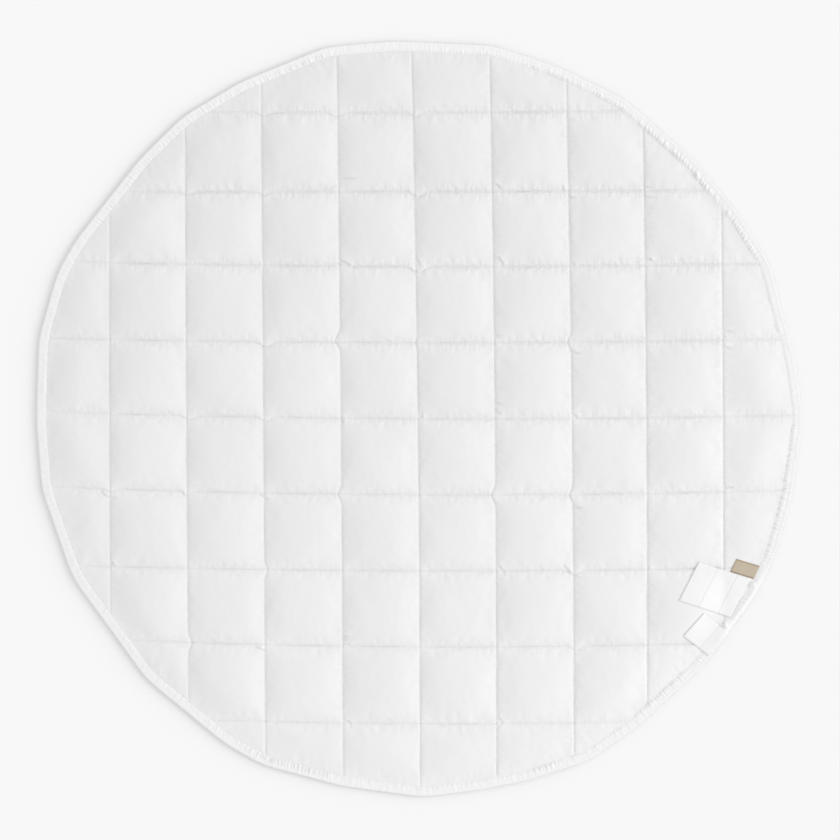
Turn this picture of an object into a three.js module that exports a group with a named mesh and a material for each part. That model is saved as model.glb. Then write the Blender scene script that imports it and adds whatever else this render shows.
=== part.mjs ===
// A round quilted play mat for a baby, lying flat on its back. All sizes are in millimetres.
// +X points to the mat's right, +Y to its top and +Z up. The origin is on the floor, under its middle.
import * as THREE from 'three';

// Driving dimensions of the quilted pad.
const SQUARE = 100; // nominal side of a quilted square
const CROWN = 15; // height of a full square's middle
const SEAM_TOP = 6.2; // height of the face cloth where a seam sews it down
const SEAM_UNDER = 1.5; // height of the backing cloth where a seam draws it up
const SEAM_STEP = 50; // spacing of the points along a seam
const FACE_RINGS = [ // the swell of a square's face, from its seams to its middle
  { scale: 1, rise: 0 },
  { scale: 0.86, rise: 0.55 },
  { scale: 0.5, rise: 0.93 },
];
const UNDER_SCALE = 0.88; // share of a square that lies flat on the floor

// Driving dimensions of the binding, a folded tape that wraps the pad's rim.
const CLOTH = 1; // thickness of the tape and of the labels
const GAP = 0.3; // clearance between two pieces that touch
const BINDING_WIDTH = 11.5; // how far the tape reaches in over the pad
const TURN_IN = 0.5; // from the tape's edge to the line where it is sewn through the pad
const RIM_INSET = 1.6; // from the tape's outer fold to the pad's own rim
const RIM_TOP = 4.6; // height of the face cloth at the pad's rim
const RIM_UNDER = 1.4; // height of the backing cloth at the pad's rim
const CORNER_ROUNDING = 18; // how far before and after a corner of the outline its curve starts

// The nine seams that run up the mat: each one's x at the heights y = 450, 0 and -432.
const UPRIGHT_SEAM_ROWS = { top: 450, middle: 0, bottom: -432 };
const UPRIGHT_SEAMS = [
  { top: -403.9, middle: -405.2, bottom: -401.9 },
  { top: -306.5, middle: -304.5, bottom: -301.3 },
  { top: -207.2, middle: -203.9, bottom: -201.3 },
  { top: -107.8, middle: -102.6, bottom: -100.0 },
  { top: -9.8, middle: -2.0, bottom: 0.7 },
  { top: 92.1, middle: 98.7, bottom: 100.6 },
  { top: 191.5, middle: 199.3, bottom: 201.9 },
  { top: 290.8, middle: 296.7, bottom: 297.3 },
  { top: 392.8, middle: 396.7, bottom: 398.0 },
];

// The nine seams that run across the mat: each one's y at x = -450, 0 and 432.
const CROSS_SEAM_COLUMNS = { left: -450, middle: 0, right: 432 };
const CROSS_SEAMS = [
  { left: -386.0, middle: -398.3, right: -390.5 },
  { left: -286.0, middle: -297.7, right: -291.0 },
  { left: -191.8, middle: -198.3, right: -194.4 },
  { left: -89.9, middle: -99.0, right: -94.4 },
  { left: 8.2, middle: 0.3, right: 3.6 },
  { left: 104.9, middle: 99.7, right: 103.6 },
  { left: 205.5, middle: 199.0, right: 202.9 },
  { left: 296.8, middle: 297.3, right: 298.8 },
  { left: 403.5, middle: 400.3, right: 406.0 },
];
const OUTER_LINE = 620; // lines past the mat that close the outermost squares

// The outline of a hand-cut round that isn't quite true: its soft corners, anticlockwise from +X.
const RIM_CORNERS = [
  { angle: 0, radius: 500.8 },
  { angle: 8.5, radius: 496.2 },
  { angle: 24, radius: 500.2 },
  { angle: 33, radius: 495.0 },
  { angle: 43.5, radius: 492.7 },
  { angle: 57.5, radius: 496.1 },
  { angle: 68.5, radius: 494.1 },
  { angle: 79, radius: 497.6 },
  { angle: 94, radius: 495.3 },
  { angle: 104, radius: 501.6 },
  { angle: 118, radius: 499.3 },
  { angle: 128, radius: 502.4 },
  { angle: 137, radius: 499.7 },
  { angle: 152.5, radius: 506.8 },
  { angle: 158, radius: 510.9 },
  { angle: 168, radius: 509.1 },
  { angle: 180, radius: 501.3 },
  { angle: 190.5, radius: 502.5 },
  { angle: 204.5, radius: 498.7 },
  { angle: 223.5, radius: 492.9 },
  { angle: 239, radius: 494.4 },
  { angle: 245.5, radius: 496.3 },
  { angle: 258, radius: 490.0 },
  { angle: 270.5, radius: 493.7 },
  { angle: 278.5, radius: 490.6 },
  { angle: 286.5, radius: 492.6 },
  { angle: 296, radius: 497.2 },
  { angle: 305, radius: 492.0 },
  { angle: 319.5, radius: 491.1 },
  { angle: 332, radius: 495.2 },
  { angle: 339, radius: 497.4 },
  { angle: 348, radius: 496.3 },
];

// The labels sewn in at the lower right. x and y are a label's middle, turn is the direction of its
// long sides and lean that of its ends, in degrees from +X.
const LABELS = [
  { name: 'tape_label', colour: 0xb7aa97, x: 425.4, y: -195.6, long: 32, wide: 18.5, turn: -17.3, lean: 64 },
  { name: 'care_label_long', colour: 0xf4f4f2, x: 385.6, y: -222.8, long: 71, wide: 57, turn: -18.2, lean: 63 },
  { name: 'care_label_short', colour: 0xf4f4f2, x: 374.4, y: -281.3, long: 42, wide: 40, turn: -38.4, lean: 48 },
];
const LABEL_CELL = 8; // spacing of a label's points
const LABEL_REACH = 4; // a label clears everything this near, as stiff cloth does

const COTTON_WHITE = 0xf1f2f3;

const polar = (angle, radius) => new THREE.Vector2(radius, 0).rotateAround(
  new THREE.Vector2(), THREE.MathUtils.degToRad(angle));

// The value at t of the quadratic curve that takes three values at three places.
function throughThree(places, values, t) {
  const [a, b, c] = places;
  const [p, q, r] = values;
  return p * (t - b) * (t - c) / ((a - b) * (a - c))
    + q * (t - a) * (t - c) / ((b - a) * (b - c))
    + r * (t - a) * (t - b) / ((c - a) * (c - b));
}

const uprightX = (seam, y) => throughThree(
  Object.values(UPRIGHT_SEAM_ROWS), [seam.top, seam.middle, seam.bottom], y);
const crossY = (seam, x) => throughThree(
  Object.values(CROSS_SEAM_COLUMNS), [seam.left, seam.middle, seam.right], x);

// Where an upright line meets a cross line. Both are nearly straight, so a few turns settle it.
function crossing(upright, cross) {
  const place = new THREE.Vector2();
  for (let turn = 0; turn < 8; turn++) {
    place.x = upright(place.y);
    place.y = cross(place.x);
  }
  return place;
}

// The rim's outline: the corners joined by straight stretches and rounded where they meet.
function rimOutline() {
  const corners = RIM_CORNERS.map(({ angle, radius }) => polar(angle, radius));
  const path = new THREE.Path();
  corners.forEach((corner, i) => {
    const before = corners.at(i - 1);
    const after = corners[(i + 1) % corners.length];
    const start = corner.clone().lerp(before, CORNER_ROUNDING / corner.distanceTo(before));
    const end = corner.clone().lerp(after, CORNER_ROUNDING / corner.distanceTo(after));
    if (i) path.lineTo(start.x, start.y);
    else path.moveTo(start.x, start.y);
    path.quadraticCurveTo(corner.x, corner.y, end.x, end.y);
  });
  return path.getPoints(2);
}

// An outline moved inwards by a distance, each point along the line that halves its corner.
function insetOutline(outline, distance) {
  return outline.map((point, i) => {
    const incoming = point.clone().sub(outline.at(i - 1)).normalize();
    const outgoing = outline[(i + 1) % outline.length].clone().sub(point).normalize();
    const inwardIn = new THREE.Vector2(-incoming.y, incoming.x);
    const inwardOut = new THREE.Vector2(-outgoing.y, outgoing.x);
    const reach = distance / (1 + inwardIn.dot(inwardOut));
    return point.clone().addScaledVector(inwardIn.add(inwardOut), reach);
  });
}

// The part of a polygon that lies to the left of the line from one point to another.
function keepLeft(polygon, from, to) {
  const along = to.clone().sub(from);
  const side = (point) => along.cross(point.clone().sub(from));
  const kept = [];
  polygon.forEach((point, i) => {
    const next = polygon[(i + 1) % polygon.length];
    const [here, there] = [side(point), side(next)];
    if (here >= 0) kept.push(point);
    if (here * there < 0) kept.push(point.clone().lerp(next, here / (here - there)));
  });
  return kept;
}

// A polygon's edges cut into equal steps. The rule depends on an edge's length alone, so two
// squares that share an edge get the same points on it.
function stepped(polygon) {
  return polygon.flatMap((point, i) => {
    const next = polygon[(i + 1) % polygon.length];
    const steps = Math.max(1, Math.round(point.distanceTo(next) / SEAM_STEP));
    return Array.from({ length: steps }, (_, k) => point.clone().lerp(next, k / steps));
  });
}

// The pieces of the face between the seams: whole squares in the middle, cut ones at the rim.
function quiltedPatches(sewnLine) {
  const uprights = [
    () => -OUTER_LINE,
    ...UPRIGHT_SEAMS.map((seam) => (y) => uprightX(seam, y)),
    () => OUTER_LINE,
  ];
  const crosses = [
    () => -OUTER_LINE,
    ...CROSS_SEAMS.map((seam) => (x) => crossY(seam, x)),
    () => OUTER_LINE,
  ];
  const patches = [];
  for (let i = 0; i + 1 < uprights.length; i++) {
    for (let j = 0; j + 1 < crosses.length; j++) {
      const square = [[0, 0], [1, 0], [1, 1], [0, 1]].map(
        ([right, up]) => crossing(uprights[i + right], crosses[j + up]));
      const patch = square.reduce(
        (polygon, corner, k) => keepLeft(polygon, corner, square[(k + 1) % 4]), sewnLine);
      if (patch.length > 2) patches.push(stepped(patch));
    }
  }
  return patches;
}

// A list of triangles that grows by faces, each a ring of points seen anticlockwise from outside.
class Faces {
  positions = [];

  add(...points) {
    for (let i = 1; i + 1 < points.length; i++) {
      [points[0], points[i], points[i + 1]].forEach((p) => this.positions.push(p.x, p.y, p.z));
    }
  }

  // The band between two rings of as many points, seen with the outer ring running anticlockwise.
  band(outer, inner) {
    outer.forEach((point, i) => {
      const next = (i + 1) % outer.length;
      this.add(point, outer[next], inner[next], inner[i]);
    });
  }

  geometry() {
    const geometry = new THREE.BufferGeometry();
    geometry.setAttribute('position', new THREE.Float32BufferAttribute(this.positions, 3));
    geometry.computeVertexNormals();
    return geometry;
  }
}

const raised = (point, z) => new THREE.Vector3(point.x, point.y, z);

// A patch's points drawn in towards its middle and lifted to a height.
const drawnIn = (patch, middle, scale, z) => patch.map(
  (point) => raised(middle.clone().lerp(point, scale), z));

// The face of one patch: it swells from its seams to a crown, lower on a small patch.
function addFace(faces, patch, middle) {
  const size = Math.sqrt(THREE.ShapeUtils.area(patch)) / SQUARE;
  const swell = (CROWN - SEAM_TOP) * Math.min(1, size);
  const rings = FACE_RINGS.map(
    ({ scale, rise }) => drawnIn(patch, middle, scale, SEAM_TOP + swell * rise));
  for (let i = 0; i + 1 < rings.length; i++) faces.band(rings[i], rings[i + 1]);
  const crown = raised(middle, SEAM_TOP + swell);
  rings.at(-1).forEach((point, i, ring) => faces.add(point, ring[(i + 1) % ring.length], crown));
}

// The underside of one patch: flat on the floor, and drawn up a little to its seams.
function addUnderside(faces, patch, middle) {
  const seam = drawnIn(patch, middle, 1, SEAM_UNDER).reverse();
  const flat = drawnIn(patch, middle, UNDER_SCALE, 0).reverse();
  faces.band(seam, flat);
  const centre = raised(middle, 0);
  flat.forEach((point, i) => faces.add(point, flat[(i + 1) % flat.length], centre));
}

// The place on one outline that lies beside a point of another with as many corners.
function beside(point, fromOutline, toOutline) {
  let nearest = { off: Infinity };
  fromOutline.forEach((start, i) => {
    const end = (i + 1) % fromOutline.length;
    const edge = fromOutline[end].clone().sub(start);
    const share = THREE.MathUtils.clamp(point.clone().sub(start).dot(edge) / edge.lengthSq(), 0, 1);
    const off = start.clone().addScaledVector(edge, share).distanceTo(point);
    if (off < nearest.off) nearest = { off, place: toOutline[i].clone().lerp(toOutline[end], share) };
  });
  return nearest.place;
}

// The flat margin under the binding: the face and the backing close on each other at the pad's rim.
function addMargin(faces, patch, sewnLine, padRim) {
  const onLine = 1e-6;
  patch.forEach((point, i) => {
    const next = patch[(i + 1) % patch.length];
    const middle = point.clone().lerp(next, 0.5);
    if (beside(middle, sewnLine, sewnLine).distanceTo(middle) > onLine) return;
    const [rimHere, rimNext] = [point, next].map((p) => beside(p, sewnLine, padRim));
    faces.add(
      raised(point, SEAM_TOP), raised(rimHere, RIM_TOP), raised(rimNext, RIM_TOP), raised(next, SEAM_TOP));
    faces.add(
      raised(rimHere, RIM_UNDER), raised(rimNext, RIM_UNDER), raised(rimNext, RIM_TOP), raised(rimHere, RIM_TOP));
    faces.add(
      raised(next, SEAM_UNDER), raised(rimNext, RIM_UNDER), raised(rimHere, RIM_UNDER), raised(point, SEAM_UNDER));
  });
}

// The pad: face cloth, wadding and backing, sewn through in squares, as one filled body.
function quiltedPad(outline) {
  const sewnLine = insetOutline(outline, BINDING_WIDTH + TURN_IN);
  const padRim = insetOutline(outline, RIM_INSET);
  const faces = new Faces();
  for (const patch of quiltedPatches(sewnLine)) {
    const middle = patch.reduce((sum, point) => sum.add(point), new THREE.Vector2())
      .divideScalar(patch.length);
    addFace(faces, patch, middle);
    addUnderside(faces, patch, middle);
    addMargin(faces, patch, sewnLine, padRim);
  }
  return faces.geometry();
}

// The binding's section, as distances in from its outer fold and heights above the floor.
function bindingSection() {
  const tapeEdge = SEAM_TOP + GAP;
  const tapeAtRim = RIM_TOP + GAP;
  const innerFold = RIM_INSET - GAP;
  const foldBack = innerFold + CLOTH;
  return [
    { inset: BINDING_WIDTH, z: 0 },
    { inset: foldBack, z: 0 },
    { inset: CLOTH / 3, z: CLOTH / 2 },
    { inset: 0, z: 1.5 * CLOTH },
    { inset: 0, z: tapeAtRim - CLOTH },
    { inset: CLOTH / 3, z: tapeAtRim + CLOTH / 3 },
    { inset: foldBack, z: tapeAtRim + CLOTH },
    { inset: BINDING_WIDTH, z: tapeEdge + CLOTH },
    { inset: BINDING_WIDTH, z: tapeEdge },
    { inset: innerFold, z: tapeAtRim },
    { inset: innerFold, z: CLOTH },
    { inset: BINDING_WIDTH, z: CLOTH },
  ];
}

// The binding: one tape folded over the rim, all the way round.
function edgeBinding(outline) {
  const rings = bindingSection().map(
    ({ inset, z }) => insetOutline(outline, inset).map((point) => raised(point, z)));
  const faces = new Faces();
  rings.forEach((ring, i) => faces.band(ring, rings[(i + 1) % rings.length]));
  return faces.geometry();
}

// A function that gives the height of the highest triangle over a place in plan.
function heightOver(geometries) {
  const triangles = geometries.flatMap((geometry) => {
    const { array } = geometry.attributes.position;
    return Array.from({ length: array.length / 9 }, (_, i) => new THREE.Triangle(
      ...[0, 3, 6].map((k) => new THREE.Vector3().fromArray(array, 9 * i + k))));
  });
  const weights = new THREE.Vector3();
  return (place) => {
    let height = 0;
    for (const { a, b, c } of triangles) {
      const doubled = (b.x - a.x) * (c.y - a.y) - (c.x - a.x) * (b.y - a.y);
      if (doubled <= 0) continue;
      weights.y = ((place.x - a.x) * (c.y - a.y) - (c.x - a.x) * (place.y - a.y)) / doubled;
      weights.z = ((b.x - a.x) * (place.y - a.y) - (place.x - a.x) * (b.y - a.y)) / doubled;
      weights.x = 1 - weights.y - weights.z;
      if (Math.min(weights.x, weights.y, weights.z) < 0) continue;
      height = Math.max(height, weights.x * a.z + weights.y * b.z + weights.z * c.z);
    }
    return height;
  };
}

// A label: a leaning rectangle of cloth that lies over whatever is under it.
function clothLabel({ x, y, long, wide, turn, lean }, heightAt) {
  const columns = Math.round(long / LABEL_CELL);
  const rows = Math.round(wide / LABEL_CELL);
  const point = (i, j) => new THREE.Vector2(x, y)
    .add(polar(turn, long * (i / columns - 0.5)))
    .add(polar(lean, wide * (j / rows - 0.5)));
  const clearHeight = (place) => {
    const heights = [heightAt(place)];
    for (let angle = 0; angle < 360; angle += 45) {
      heights.push(heightAt(place.clone().add(polar(angle, LABEL_REACH))));
    }
    return Math.max(...heights) + GAP;
  };
  const under = Array.from({ length: columns + 1 }, (_, i) => Array.from({ length: rows + 1 }, (_, j) => {
    const place = point(i, j);
    return raised(place, clearHeight(place));
  }));
  const over = under.map((column) => column.map((p) => raised(p, p.z + CLOTH)));
  const faces = new Faces();
  for (let i = 0; i < columns; i++) {
    for (let j = 0; j < rows; j++) {
      faces.add(over[i][j], over[i + 1][j], over[i + 1][j + 1], over[i][j + 1]);
      faces.add(under[i][j + 1], under[i + 1][j + 1], under[i + 1][j], under[i][j]);
    }
  }
  for (let i = 0; i < columns; i++) {
    faces.add(under[i][0], under[i + 1][0], over[i + 1][0], over[i][0]);
    faces.add(under[i + 1][rows], under[i][rows], over[i][rows], over[i + 1][rows]);
  }
  for (let j = 0; j < rows; j++) {
    faces.add(under[0][j + 1], under[0][j], over[0][j], over[0][j + 1]);
    faces.add(under[columns][j], under[columns][j + 1], over[columns][j + 1], over[columns][j]);
  }
  return faces.geometry();
}

function clothMesh(name, geometry, colour, roughness) {
  const mesh = new THREE.Mesh(geometry, new THREE.MeshStandardMaterial({ color: colour, roughness, metalness: 0 }));
  mesh.name = name;
  return mesh;
}

const outline = rimOutline();
const pad = quiltedPad(outline);
const binding = edgeBinding(outline);
const heightAt = heightOver([pad, binding]);

const group = new THREE.Group();
group.add(clothMesh('quilted_pad', pad, COTTON_WHITE, 0.85));
group.add(clothMesh('edge_binding', binding, COTTON_WHITE, 0.8));
for (const label of LABELS) {
  group.add(clothMesh(label.name, clothLabel(label, heightAt), label.colour, 0.6));
}

export default group;
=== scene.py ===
# %% [markdown]
# # A round quilted play mat
#
# This lesson dresses a play mat in cloth. The real mat is two rounds of white cotton with wadding
# between them, sewn through in squares, with a cotton tape folded over the rim and three labels
# caught in it. It is about a metre across and lies on a white table, seen from straight above.
#
# The measured solids come first, as a frame that nothing may move. Every piece below is made in
# the same place, replaces one of those solids, and rides on the same body.

import math

import bpy
import numpy as np
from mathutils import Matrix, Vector
from mathutils.bvhtree import BVHTree
from mathutils.geometry import delaunay_2d_cdt
from mathutils.kdtree import KDTree


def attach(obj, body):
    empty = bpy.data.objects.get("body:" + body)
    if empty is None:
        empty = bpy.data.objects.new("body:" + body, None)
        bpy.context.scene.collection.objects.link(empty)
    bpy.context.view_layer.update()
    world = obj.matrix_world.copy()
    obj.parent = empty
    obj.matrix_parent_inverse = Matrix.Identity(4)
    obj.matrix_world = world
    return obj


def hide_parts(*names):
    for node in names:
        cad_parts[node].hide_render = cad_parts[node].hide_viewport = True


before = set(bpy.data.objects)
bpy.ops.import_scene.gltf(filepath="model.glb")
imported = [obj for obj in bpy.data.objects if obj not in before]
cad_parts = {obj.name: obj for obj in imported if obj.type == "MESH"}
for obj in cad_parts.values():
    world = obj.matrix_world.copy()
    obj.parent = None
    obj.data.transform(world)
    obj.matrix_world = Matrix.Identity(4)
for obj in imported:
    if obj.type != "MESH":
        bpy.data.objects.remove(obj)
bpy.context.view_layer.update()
MM = 0.001  # the tables below are in millimetres, as a tape measure gives them

# %% [markdown]
# ## Where the seams run
#
# A quilter marks a grid of squares and sews along it. The lines come out nearly straight, but the
# wadding pulls them a little, so each is a shallow bow. A bow needs three measured places, and the
# quadratic curve through them gives every other point. That is easier to correct by eye than a
# list of many points.

# %% Seam lines
UPRIGHT_ROWS = (450.0, 0.0, -432.0)
UPRIGHT_SEAMS = (
    (-403.9, -405.2, -401.9), (-306.5, -304.5, -301.3), (-207.2, -203.9, -201.3),
    (-107.8, -102.6, -100.0), (-9.8, -2.0, 0.7), (92.1, 98.7, 100.6),
    (191.5, 199.3, 201.9), (290.8, 296.7, 297.3), (392.8, 396.7, 398.0),
)
CROSS_COLUMNS = (-450.0, 0.0, 432.0)
CROSS_SEAMS = (
    (-386.0, -398.3, -390.5), (-286.0, -297.7, -291.0), (-191.8, -198.3, -194.4),
    (-89.9, -99.0, -94.4), (8.2, 0.3, 3.6), (104.9, 99.7, 103.6),
    (205.5, 199.0, 202.9), (296.8, 297.3, 298.8), (403.5, 400.3, 406.0),
)
BEYOND = 620.0  # a made-up line outside the rim, so that the cut squares have four sides too
LINES = range(-1, len(UPRIGHT_SEAMS) + 1)


def through(places, values, t):
    """The quadratic curve that takes three values at three places."""
    (a, b, c), (p, q, r) = places, values
    return (p * (t - b) * (t - c) / ((a - b) * (a - c))
            + q * (t - a) * (t - c) / ((b - a) * (b - c))
            + r * (t - a) * (t - b) / ((c - a) * (c - b)))


def bowed(table, places, line, t):
    """One line of the grid at t. Line -1 and the one past the last are the made-up ones."""
    if 0 <= line < len(table):
        return through(places, table[line], t)
    return np.full_like(t, -BEYOND if line < 0 else BEYOND)


def upright_x(line, y):
    return bowed(UPRIGHT_SEAMS, UPRIGHT_ROWS, line, np.asarray(y, float))


def cross_y(line, x):
    return bowed(CROSS_SEAMS, CROSS_COLUMNS, line, np.asarray(x, float))


def crossing(upright, cross, right=0.0, up=0.0):
    """Where two lines meet, or where lines shifted by right and up do. A few turns settle it."""
    x = y = 0.0
    for _ in range(8):
        x = upright_x(upright, y) + right
        y = cross_y(cross, x) + up
    return np.array([float(x), float(y)])


def seam_gap(plan, seams=None):
    """How far each point lies from the nearest seam, of both kinds or of one."""
    gap = np.full(len(plan), BEYOND)
    for line in range(len(UPRIGHT_SEAMS)):
        if seams in (None, "upright"):
            gap = np.minimum(gap, abs(plan[:, 0] - upright_x(line, plan[:, 1])))
        if seams in (None, "cross"):
            gap = np.minimum(gap, abs(plan[:, 1] - cross_y(line, plan[:, 0])))
    return gap


print("a square is", round(float(upright_x(5, 0) - upright_x(4, 0)), 1), "mm wide")

# %% [markdown]
# ## The rim
#
# The mat was cut round by hand, so its outline has soft corners and nearly straight stretches. A
# circle would look machined. The corners are given as an angle and a radius, rounded where they
# meet, and the line is then resampled in even steps.

# %% Rim line
RIM_CORNERS = (
    (0, 500.8), (8.5, 496.2), (24, 500.2), (33, 495.0), (43.5, 492.7), (57.5, 496.1),
    (68.5, 494.1), (79, 497.6), (94, 495.3), (104, 501.6), (118, 499.3), (128, 502.4),
    (137, 499.7), (152.5, 506.8), (158, 510.9), (168, 509.1), (180, 501.3), (190.5, 502.5),
    (204.5, 498.7), (223.5, 492.9), (239, 494.4), (245.5, 496.3), (258, 490.0), (270.5, 493.7),
    (278.5, 490.6), (286.5, 492.6), (296, 497.2), (305, 492.0), (319.5, 491.1), (332, 495.2),
    (339, 497.4), (348, 496.3),
)
CORNER_ROUNDING = 18.0


def rim_line(step):
    """The outer fold in even steps, anticlockwise, and the inward direction at each point."""
    corners = np.array([
        (radius * math.cos(math.radians(angle)), radius * math.sin(math.radians(angle)))
        for angle, radius in RIM_CORNERS])
    t = np.linspace(0, 1, 13)[:, None]
    bends = []
    for before, corner, after in zip(np.roll(corners, 1, 0), corners, np.roll(corners, -1, 0)):
        start = corner + (before - corner) * CORNER_ROUNDING / np.linalg.norm(before - corner)
        end = corner + (after - corner) * CORNER_ROUNDING / np.linalg.norm(after - corner)
        bends.append((1 - t) ** 2 * start + 2 * t * (1 - t) * corner + t * t * end)
    line = np.vstack(bends + [bends[0][:1]])
    run = np.concatenate([[0], np.cumsum(np.linalg.norm(np.diff(line, axis=0), axis=1))])
    count = round(run[-1] / step)
    at = np.arange(count) * run[-1] / count
    rim = np.stack([np.interp(at, run, line[:, k]) for k in (0, 1)], 1)
    along = np.roll(rim, -1, 0) - np.roll(rim, 1, 0)
    along /= np.linalg.norm(along, axis=1)[:, None]
    return rim, np.stack([-along[:, 1], along[:, 0]], 1), run[-1]


RIM_STEP = 2.6
rim, inwards, RIM_LENGTH = rim_line(RIM_STEP)
turn = np.arctan2(rim[:, 1], rim[:, 0]) % (2 * math.pi)
order = np.argsort(turn)
slant = -(inwards * rim).sum(1) / np.linalg.norm(rim, axis=1)


def rim_depth(plan):
    """How far in from the outer fold each point lies."""
    angle = np.arctan2(plan[:, 1], plan[:, 0]) % (2 * math.pi)
    radius, lean = (
        np.interp(angle, turn[order], values[order], period=2 * math.pi)
        for values in (np.linalg.norm(rim, axis=1), slant))
    return (radius - np.hypot(plan[:, 0], plan[:, 1])) * lean


print("the rim is", round(RIM_LENGTH), "mm round")

# %% [markdown]
# ## Tucks at the crossings
#
# Where two seams meet, the sewing foot pushes cloth ahead of it. The second seam then steps
# sideways, and a tuck or two is caught beside it. No two crossings are alike, so they are listed one
# by one: the seam counted from the left, the row counted from the top, and places in millimetres
# from the crossing.
#
# A nudge slides cloth and seam together in plan and dies away over its reach. A crease is a narrow
# groove with a soft lip beside it.

# %% Nudges and creases
NUDGES = (
    (3, 1, (3, 0), (0, -4.5), 9), (4, 1, (-3, 0), (0, -5.5), 8), (5, 1, (3, 0), (0, -5.5), 7),
    (2, 2, (2, 0), (0, -4), 9), (3, 2, (2, 0), (0, -4.5), 7), (5, 2, (3, 0), (0, -7), 9),
    (3, 3, (0, 0), (1.5, 0), 6), (4, 3, (-2, 0), (0, 3), 9), (5, 3, (2, 0), (0, -8), 10),
    (3, 4, (3, 0), (0, -7), 9), (4, 4, (0, 3), (-7, 0), 9), (5, 4, (0, 0), (-2, 0), 6),
    (7, 4, (0, 0), (-5, 0), 8), (1, 5, (3, 0), (0, -2), 6), (2, 5, (3, 0), (0, -5), 8),
    (3, 5, (2, 0), (0, -6), 8), (1, 6, (0, 0), (0, -4), 8), (2, 6, (-2, 0), (0, -5), 7),
    (4, 6, (0, 0), (-5, 0), 8), (6, 6, (0, 0), (-6, 0), 9), (7, 6, (0, 0), (-5, -1), 8),
    (3, 7, (0, 0), (4, 0), 7), (7, 7, (0, 0), (0, -6), 9), (2, 8, (0, 0), (5, 0), 8),
    (7, 8, (3, 0), (0, -5), 7),
)
CREASES = (
    (4, 2, (-15, 1), (-9, 6), (-3, 10)), (4, 2, (2, 17.5), (24, 18)),
    (5, 2, (-9, 2), (-5, -1)), (5, 2, (4, -8), (9, -7)), (6, 2, (0, 8), (6, 9.5), (11, 3.5), (14, 1)),
    (7, 2, (-8, 8), (-6, -1)), (7, 2, (1, -8), (11, -8.5)), (8, 2, (1, 5), (10, 5)),
    (8, 2, (1, -8), (14, -8)), (4, 3, (-6, 3), (3, 7), (10, 4), (16, -2), (24, -3)),
    (5, 3, (1, 11), (6, 3)), (5, 3, (0, -9), (8, -7), (16, 1)),
    (6, 3, (1, 12), (8, 12), (12, 5), (14, -3)), (7, 3, (2, 8), (5, 2), (4, -4)),
    (8, 3, (0, 8), (8, 8), (13, 2)), (8, 3, (-12, 10), (-3, 8)), (6, 4, (0, 9), (10, 9)),
    (7, 4, (2, -14), (12, -14)), (8, 4, (-5, 4), (1, 4)), (9, 4, (-4, -2), (4, 6)),
    (9, 4, (2, 12), (14, 12)), (9, 4, (2, -10), (12, -10)), (4, 5, (3, 0), (3, -6)),
    (5, 5, (5, 8), (5, 0)), (6, 5, (0, 8), (8, 8)), (6, 5, (0, 20), (8, 20)),
    (7, 5, (2, 6), (7, 1)), (1, 6, (-14, 1), (-8, -7), (0, -11), (10, -12)),
    (2, 6, (-8, 1), (-4, -3), (0, -6)), (3, 6, (-6, 0), (0, -7), (6, -8)),
    (7, 6, (1, -17), (12, -17)), (9, 6, (0, 5), (14, 6)), (1, 7, (0, 8), (6, 0)),
    (6, 7, (1, 8), (8, 2), (12, -6)), (7, 7, (-16, 10), (-6, -1), (1, -8), (12, -10)),
    (8, 7, (1, 4), (5, -2)), (3, 8, (-12, -3), (0, -8)), (4, 8, (1, 12), (10, 12)),
    (4, 8, (1, 8), (8, 8)), (4, 8, (1, 3), (8, 3)), (6, 8, (0, 2), (10, -2)),
    (4, 9, (0, 4), (8, 2), (11, -6)), (6, 9, (2, 10), (7, 2), (2, -6)),
)


def place(seam, row):
    """A crossing, by its seam from the left and its row from the top."""
    return crossing(seam - 1, len(CROSS_SEAMS) - row)


def nudge_at(plan):
    """How far the nudges slide each point."""
    slide = np.zeros_like(plan)
    for seam, row, at, move, reach in NUDGES:
        off = plan - (place(seam, row) + at)
        slide += np.exp(-(off ** 2).sum(1) / reach ** 2)[:, None] * move
    return slide


def before_nudge(plan):
    """The place that a nudge brings to each point, found by stepping back a few times."""
    start = plan.copy()
    for _ in range(12):
        start = plan - nudge_at(start)
    return start


crease_lines = [place(seam, row) + np.array(points, float) for seam, row, *points in CREASES]
print(len(NUDGES), "nudges,", len(crease_lines), "creases")

# %% [markdown]
# ## A plan of triangles that knows its seams
#
# A remeshed or subdivided disc would blur the seams, because its edges cross them anywhere. Here
# the plan is drawn first: points along every seam, rows of points beside it that open out, a loose
# net of points in the middle of each square, and rings that follow the rim. A constrained Delaunay
# triangulation joins them and keeps each seam as a line of edges.

# %% Points of the plan
SEWN_LINE = 12.0  # where the tape's stitching meets the quilting, in from the outer fold
PAD_RIM = 3.0  # the pad's own cut edge, inside the folded tape
UNDER_TAPE = 7.5
FACE_ROWS = ((0.9, 2.6), (2.3, 2.6), (4.5, 2.6), (7.4, 3.0), (10.9, 3.6))  # off the seam, step
FACE_NET = 5.4
BACKING_ROWS = ((2.6, 6.0), (6.5, 8.0))
BACKING_NET = 13.0
CREASE_ROWS = (-3.4, -1.7, 0.0, 1.7, 3.4)  # rows of points on both sides of a crease
CREASE_STEP = 2.0
CREASE_CLEAR = 1.3  # how near a seam the points of a crease may come
LEAST_APART, LEAST_FROM_CREASE = 1.1, 1.5
rng = np.random.default_rng(4)


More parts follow.
